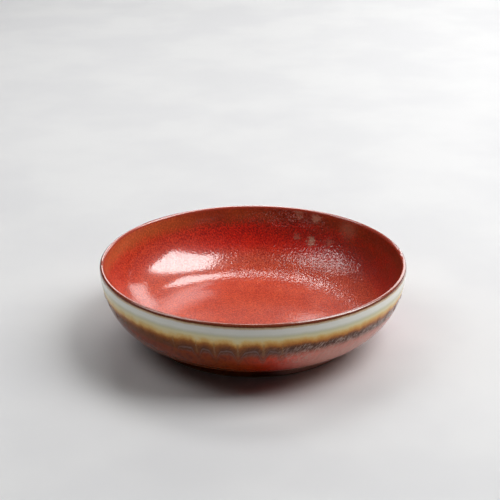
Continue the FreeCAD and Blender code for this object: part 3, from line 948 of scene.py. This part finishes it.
def makeRim():
    mesh = bmesh.new()
    first = startAt(mesh, (lipCentre[0] - wall["lipRadius"], rimLevel))
    corner = arcTo(mesh, first, lipCentre, 180)
    corner = lineTo(mesh, corner, (lipCentre[0] + wall["lipRadius"] - wall["coat"], rimLevel))
    corner = arcTo(mesh, corner, lipCentre, -180)
    closeSection(mesh, first, corner)
    turnSection(mesh)
    finishPiece("rimLip", mesh, [lipMaterial], ["rim_glaze"])


def makeBand(name, centre, radii, turns, material, node):  # radii of its face and of its seat
    radius, seat = radii
    top, bottom = turns
    mesh = bmesh.new()
    first = startAt(mesh, onArc(centre, radius, top))
    corner = arcTo(mesh, first, centre, bottom - top)
    corner = lineTo(mesh, corner, onArc(centre, seat, bottom))
    corner = arcTo(mesh, corner, centre, top - bottom)
    closeSection(mesh, first, corner)
    turnSection(mesh)
    finishPiece(name, mesh, [material], [node])


def makeBands():
    makeBand("innerRimBand", innerShoulderCentre, (innerShoulderRadius, innerSeat), (0, innerBandTurn),
             insideMaterial, "inner_rim_glaze")
    radii = (shoulderRadius, shoulderRadius - wall["coat"])
    top = 0
    for name in ("pale", "ochre", "amber", "streak"):
        node = name + "_band_glaze"
        bottom = lowerTurn(node, shoulderRadius)
        makeBand(name + "Band", shoulderCentre, radii, (top, bottom),
                 outsideMaterial, node)
        top = bottom


def makeRuns():
    mesh = bmesh.new()
    for lap in range(runs["count"]):
        for turn, end, width in runs["kinds"]:
            drop = bmesh.ops.create_uvsphere(
                mesh, u_segments=runs["rings"], v_segments=runs["rings"], radius=1)["verts"]
            layRun(drop, turn + lap * runPeriod, end, width * mm / 2)
    bmesh.ops.recalc_face_normals(mesh, faces=mesh.faces)
    finishPiece("glazeRuns", mesh, [runMaterial], ["glaze_runs"], crease=80)


def layRun(drop, turn, end, halfWidth):  # bends a ball of melt along the wall, poles up and down
    middle, half = (runs["top"] + end) / 2, (end - runs["top"]) / 2
    for vert in drop:
        below = middle - half * vert.co.z
        swell = runs["belly"] - runs["swell"] * vert.co.z
        around = math.radians(turn) + vert.co.x * swell * halfWidth / rimRadius
        height = vert.co.y * swell
        raised = height * (runs["proud"] if height > 0 else runs["sunk"])
        across, up = onArc(shoulderCentre, shoulderRadius + raised, below)
        vert.co = (across * math.cos(around), across * math.sin(around), up)


makeBowlBody()
makeFootEdge()
makeRim()
makeBands()
makeRuns()


# Table, light and camera

table = {
    "size": 8.0,  # metres
    "light": tone(222, 222, 222),
    "dark": tone(216, 216, 217),
    "roughness": 0.6,
    "cloudSize": 120.0,
    "cloudRange": (0.35, 0.65),
}


def makeTable():
    mesh = bmesh.new()
    bmesh.ops.create_grid(mesh, x_segments=1, y_segments=1, size=table["size"] / 2)
    data = bpy.data.meshes.new("table")
    mesh.to_mesh(data)
    mesh.free()
    floor = bpy.data.objects.new("table", data)
    bpy.context.scene.collection.objects.link(floor)
    material, tree, shader, position = startMaterial("tableTop", {"Roughness": table["roughness"]})
    cloud = noise(tree, inMillimetres(tree, position), table["cloudSize"], detail=3.0)
    tint = blend(tree, ramp(tree, cloud, *table["cloudRange"]), table["dark"], table["light"])
    tree.links.new(tint, shader.inputs["Base Color"])
    data.materials.append(material)


lamps = {  # direction to the lamp, distance, width and height in metres, watts
    "right": ((0.588, 0.075, 0.805), 1.8, 1.05, 1.34, 27.8),
    "left": ((-0.60, 0.05, 0.80), 1.8, 0.85, 1.15, 7.8),
    "backStrip": ((0.04, 0.59, 0.79), 1.8, 1.05, 0.42, 6.8),
    "backRight": ((0.365, 0.86, 0.36), 1.8, 1.13, 0.83, 7.0),
    "backLeft": ((-0.17, 0.89, 0.42), 1.8, 0.3, 0.45, 1.6),
}


def makeLamps():
    for name, (direction, distance, width, height, watts) in lamps.items():
        lamp = bpy.data.lights.new(name, "AREA")
        lamp.shape, lamp.size, lamp.size_y, lamp.energy = "RECTANGLE", width, height, watts
        holder = bpy.data.objects.new(name, lamp)
        holder.location = Vector(direction).normalized() * distance
        holder.rotation_euler = (-holder.location).to_track_quat("-Z", "Y").to_euler()
        bpy.context.scene.collection.objects.link(holder)


studio = {"level": tone(58, 58, 59), "overhead": tone(26, 26, 27)}


def makeWorld():
    world = bpy.data.worlds.new("studio")
    world.use_nodes = True
    tree = world.node_tree
    direction = tree.nodes.new("ShaderNodeTexCoord").outputs["Generated"]
    up = addNode(tree, "ShaderNodeSeparateXYZ", {0: direction}).outputs["Z"]
    light = colourSteps(tree, up, [(0.0, studio["level"]), (1.0, studio["overhead"])])
    tree.links.new(light, tree.nodes["Background"].inputs["Color"])
    bpy.context.scene.world = world


view = {
    "distanceBack": 0.8144,  # metres
    "height": 0.3998,
    "pitch": 22.57,  # degrees down
    "fieldOfView": 22.0,
    "shiftX": -0.006,
    "sensorWidth": 36,
}


def makeCamera():
    data = bpy.data.cameras.new("camera")
    data.sensor_width = view["sensorWidth"]
    data.lens = view["sensorWidth"] / 2 / math.tan(math.radians(view["fieldOfView"] / 2))
    data.shift_x = view["shiftX"]
    data.dof.use_dof = False
    camera = bpy.data.objects.new("camera", data)
    camera.location = (0, -view["distanceBack"], view["height"])
    camera.rotation_euler = (math.radians(90 - view["pitch"]), 0, 0)
    bpy.context.scene.collection.objects.link(camera)
    bpy.context.scene.camera = camera


makeTable()
makeLamps()
makeWorld()
makeCamera()
bpy.context.scene.view_settings.view_transform = "Standard"
print("stage made")
